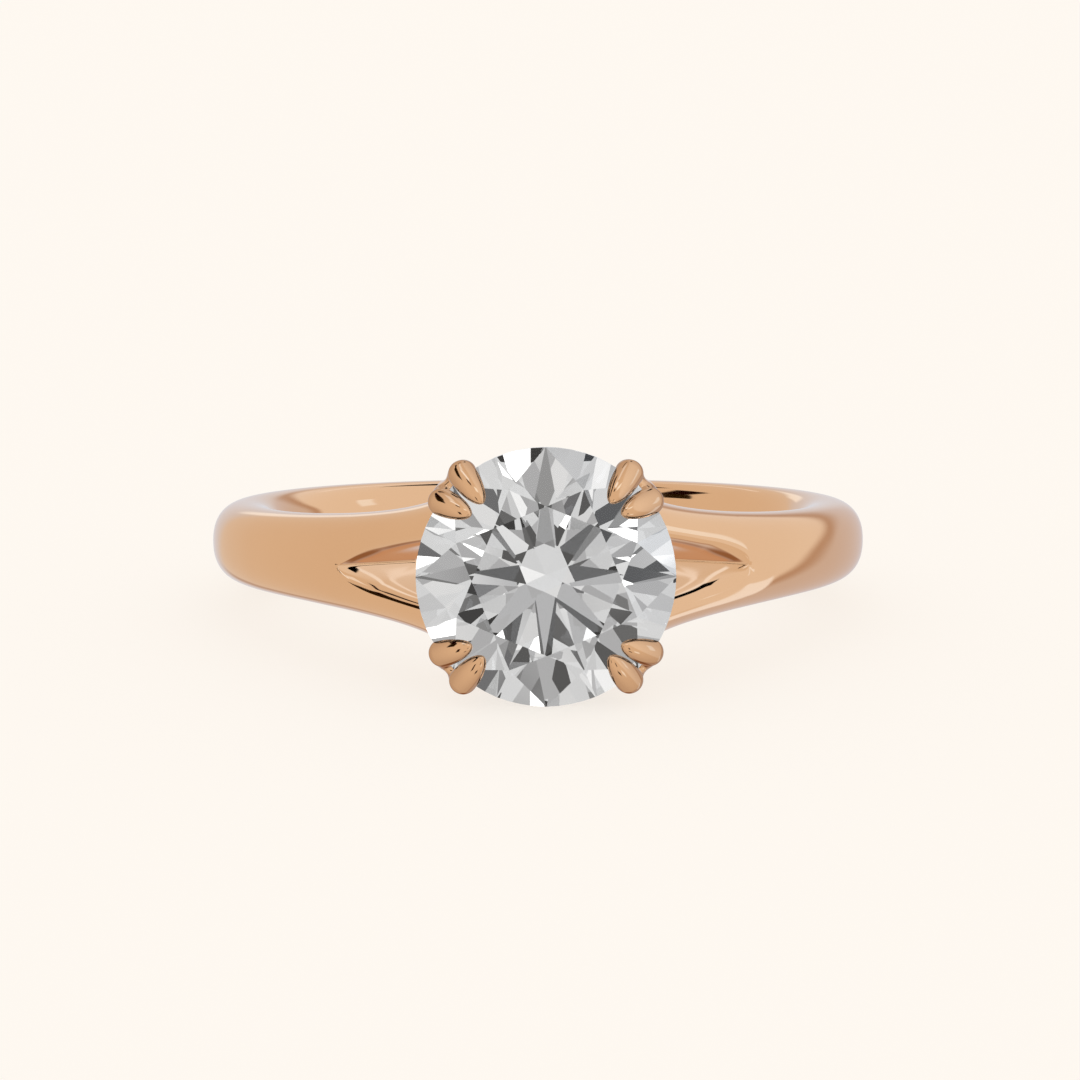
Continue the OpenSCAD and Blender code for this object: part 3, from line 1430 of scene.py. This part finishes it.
@dataclass(frozen=True)
class Card:
    """One card of the studio, bright or dark, as the ring sees it.

    Attributes:
        lon: Degrees round the ring from straight in front, positive to the right.
        lat: Degrees above the horizon.
        wide: Half width in degrees.
        high: Half height in degrees.
        soft: Width of the soft edge in degrees.
        light: Its colour.
        roll: Degrees by which it is turned.
        outline: A plate, or a disc whose radius is the half width.
    """

    lon: float
    lat: float
    wide: float
    high: float
    soft: float
    light: Colour
    roll: float = 0.0
    outline: Outline = Outline.PLATE

    def axes(self) -> tuple[Vector, Vector, Vector]:
        """Find how the card hangs.

        Returns:
            Directions to its middle, along its width and along its height.
        """
        lon, lat, roll = (math.radians(v) for v in (self.lon, self.lat, self.roll))
        middle = Vector(
            (math.sin(lon) * math.cos(lat), -math.cos(lon) * math.cos(lat), math.sin(lat)))
        side = Vector((math.cos(lon), math.sin(lon), 0))
        up = middle.cross(side)
        width = side * math.cos(roll) + up * math.sin(roll)
        return middle, width, up * math.cos(roll) - side * math.sin(roll)

    def mask(self, sheet: NodeSheet, direction: Socket) -> Socket:
        """Wire where the card is seen.

        Args:
            sheet: The world's nodes.
            direction: Where the ray goes.

        Returns:
            1 on the card and 0 past its soft edge.
        """
        middle, side, up = self.axes()
        ahead = sheet.dot(direction, middle)
        if self.outline is Outline.DISC:
            edges = [max(0.0, self.wide + k * self.soft / 2) for k in (1, -1)]
            limits = tuple(math.cos(math.radians(edge)) for edge in edges)
            return sheet.spread(ahead, limits, slope="SMOOTHSTEP")
        shares = []
        for axis, half in ((side, self.wide), (up, self.high)):
            edges = [min(89.0, half + k * self.soft / 2) for k in (-1, 1)]
            limits = tuple(math.sin(math.radians(edge)) for edge in edges)
            offset = sheet.sum_up("ABSOLUTE", sheet.dot(direction, axis))
            shares.append(sheet.spread(offset, limits, (1.0, 0.0), "SMOOTHSTEP"))
        in_front = sheet.sum_up("GREATER_THAN", ahead, 0.0)
        return sheet.sum_up("MULTIPLY", sheet.sum_up("MULTIPLY", *shares), in_front)


@dataclass
class Surroundings:
    """What the metal, the stone and the floor see: cards on a soft ground, for each kind of ray.

    Attributes:
        sheet: The world's nodes.
        floor_light: Even light on the floor, which is also all that is seen past it.
        metal_ground: Colour behind the metal's cards.
        metal_cards: The metal's cards, the nearest last.
        stone_ground: Colour behind the stone's cards.
        stone_cards: The stone's cards, the nearest last.
    """

    sheet: NodeSheet
    floor_light: Colour = (1.0, 0.985, 0.97)
    metal_ground: Colour = (0.79, 0.72, 0.64)
    metal_cards: tuple[Card, ...] = (
        Card(105, 25, 62, 0, 8, (0.885, 0.875, 0.87), outline=Outline.DISC),
        Card(156, -24, 44, 0, 5, (0.55, 0.43, 0.36), outline=Outline.DISC),
        Card(156, -24, 37.5, 0, 8, (0.69, 0.66, 0.69), outline=Outline.DISC),
        Card(-172, -4, 20, 0, 12, (0.74, 0.75, 0.80), outline=Outline.DISC),
        Card(179, -36, 6, 9, 9, (0.61, 0.36, 0.21)),
        Card(179, -56, 8, 11, 11, (0.31, 0.16, 0.08)),
        Card(-170, 13, 6, 4, 4, (1.02, 1.08, 1.12)),
        Card(180, 30, 16, 1.2, 1.5, (1.0, 1.04, 1.1)),
        Card(178, 41, 6, 2.5, 2, (1.03, 1.14, 1.3)),
        Card(166.5, 47, 3.8, 6.5, 1.2, (0.0, 0.0, 0.0)),
        Card(-150, 59, 8, 2, 2, (0.01, 0.0, 0.0)),
        Card(87, 13, 4.5, 13.5, 3, (1.02, 1.17, 1.38), -22),
        Card(108, -36, 4.5, 16, 3, (1.03, 1.18, 1.42), 31),
        Card(-102, 49, 13, 5.5, 2, (0.01, 0.0, 0.0), -10),
        Card(-79, 35, 7, 12, 2, (0.02, 0.01, 0.0), 28),
        Card(-34, 52, 6, 4, 2, (0.03, 0.01, 0.0)),
        Card(-38, -16, 4.5, 13, 2, (0.03, 0.01, 0.0)),
        Card(16, -20, 3.5, 10, 2, (0.03, 0.01, 0.0)),
        Card(10, -55, 6, 4, 2, (0.04, 0.02, 0.01)),
        Card(-47, 64, 10, 5, 3, (1.1, 1.3, 1.6)),
        Card(12, 51, 9, 6, 3, (1.12, 1.3, 1.5)),
        Card(42, -38, 6, 6, 3, (1.03, 1.15, 1.3)),
        Card(-104, 74, 12, 5, 3, (1.0, 1.1, 1.25)),
    )
    stone_ground: Colour = (0.70, 0.705, 0.71)
    stone_cards: tuple[Card, ...] = (
        Card(0, 10, 24, 30, 12, (0.42, 0.42, 0.425)),
        Card(-29, 5, 8, 5, 3, (0.12, 0.12, 0.125)),
        Card(-16, -3, 6, 8, 3, grey(0.05)),
        Card(-6, -12, 6, 6, 3, grey(0.10)),
        Card(13, 7, 7, 9, 3, grey(0.06)),
        Card(-3, 34, 11, 6, 3, grey(0.16)),
        Card(3, 21, 4, 9, 3, grey(0.28)),
        Card(-12, 19, 5, 9, 3, grey(0.75)),
        Card(-70, 5, 10, 22, 5, grey(0.25)),
        Card(7, -13, 6, 6, 3, grey(0.7)),
        Card(38, 8, 8, 11, 4, grey(0.95)),
        Card(-41, 47, 8, 5.5, 2, grey(2.2)),
        Card(34, 37, 6, 6, 3, grey(2.2)),
        Card(-7, 43, 3, 3, 2, grey(1.2)),
        Card(9, -34, 4, 4, 2, grey(2.0)),
        Card(4, 81, 5, 5, 3, grey(2.0)),
        Card(-74, 8, 4, 4, 2, grey(1.8)),
        Card(62, -20, 12, 30, 5, grey(0.2)),
    )

    def hang(self, direction: Socket, ground: Colour, cards: tuple[Card, ...]) -> Socket:
        """Lay cards over a ground.

        Args:
            direction: Where the ray goes.
            ground: Colour behind the cards.
            cards: The cards, the nearest last.

        Returns:
            A background with the colour seen in each direction.
        """
        seen = ground
        for card in cards:
            seen = self.sheet.blend(card.mask(self.sheet, direction), seen, card.light)
        return self.sheet.add("Background", {"Color": seen})

    def build(self) -> None:
        """Wire the world: metal sees its cards, the stone its own, and the floor an even light."""
        sheet = self.sheet
        direction = sheet.add("TexCoord", {}, "Generated")
        metal = self.hang(direction, self.metal_ground, self.metal_cards)
        stone = self.hang(direction, self.stone_ground, self.stone_cards)
        shown = sheet.add("Background", {"Color": (*self.floor_light, 1)})
        for ray, seen in (("Is Glossy Ray", metal), ("Is Transmission Ray", stone)):
            chosen = sheet.add("LightPath", {}, ray)
            shown = sheet.add("MixShader", {0: chosen, 1: shown, 2: seen})
        sheet.fill(sheet.tree.nodes["World Output"], {"Surface": shown})


@dataclass
class Studio:
    """Pale floor, soft light all round and the camera.

    Attributes:
        rest: How the ring lies.
        distance: From the middle of the finger hole to the camera, in millimetres.
        azimuth: Degrees by which the camera stands to the left.
        elevation: Degrees by which it stands above the finger's plane.
        lens: Its focal length.
        sensor: Width of its sensor.
        clip: Least and greatest distance that it sees, in metres.
        centre_px: Where the picture has the middle of the finger hole.
        picture: Width and height of the picture in pixels.
        floor_size: Width of the floor in metres.
        floor_finish: The floor's finish.
    """

    rest: RestPlace
    distance: float = 104.0
    azimuth: float = 1.05
    elevation: float = 5.2
    lens: float = 107.47
    sensor: float = 36.0
    clip: Point = (0.001, 20.0)
    centre_px: Point = (538.0, 537.3)
    picture: int = 1080
    floor_size: float = 4.0
    floor_finish: PaleFloor = PaleFloor()

    def camera(self) -> bpy.types.Object:
        """Set the camera where the photo was taken from.

        Returns:
            The scene's camera.
        """
        data = bpy.data.cameras.new("camera")
        data.lens, data.sensor_width = self.lens, self.sensor
        data.clip_start, data.clip_end = self.clip
        data.shift_x = (self.picture / 2 - self.centre_px[0]) / self.picture
        data.shift_y = (self.centre_px[1] - self.picture / 2) / self.picture
        camera = bpy.data.objects.new("camera", data)
        bpy.context.scene.collection.objects.link(camera)
        az, el = math.radians(self.azimuth), math.radians(self.elevation + self.rest.tilt)
        away = Vector((-math.sin(az) * math.cos(el), -math.cos(az) * math.cos(el), math.sin(el)))
        middle = Vector((0, self.rest.back, self.rest.lift))
        camera.location = (middle + away * self.distance) * MM
        camera.rotation_euler = (-away).to_track_quat("-Z", "Y").to_euler()
        bpy.context.scene.camera = camera
        return camera

    def floor(self) -> bpy.types.Object:
        """Lay the pale floor.

        Returns:
            The floor.
        """
        bpy.ops.object.select_all(action="DESELECT")
        bpy.ops.mesh.primitive_plane_add(size=self.floor_size)
        floor = start_piece("floor")
        floor.data.materials.append(self.floor_finish.material())
        floor.visible_glossy = floor.visible_transmission = False
        return floor

    def world(self) -> None:
        """Hang the cards round the ring."""
        world = bpy.data.worlds.new("studio")
        world.use_nodes = True
        Surroundings(NodeSheet(world.node_tree)).build()
        bpy.context.scene.world = world

    def build(self) -> None:
        """Set up the camera, the floor and the light."""
        view = bpy.context.scene.view_settings
        view.view_transform, view.look = "Standard", "None"
        self.camera()
        self.floor()
        self.world()


def main() -> None:
    """Build the ring and its studio in order."""
    logging.basicConfig(level=logging.INFO, format="%(message)s")
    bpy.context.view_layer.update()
    rest = RestPlace()
    body = Mounting(RingSizes(), rest).build()
    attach(body, "root")
    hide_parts("gold_mounting")
    LOG.info("%s: %d faces", body.name, len(body.data.polygons))
    stone = Stone().build()
    LOG.info("%s: %d facets", stone.name, len(stone.data.polygons))
    Studio(rest).build()


if __name__ == "__main__":
    main()
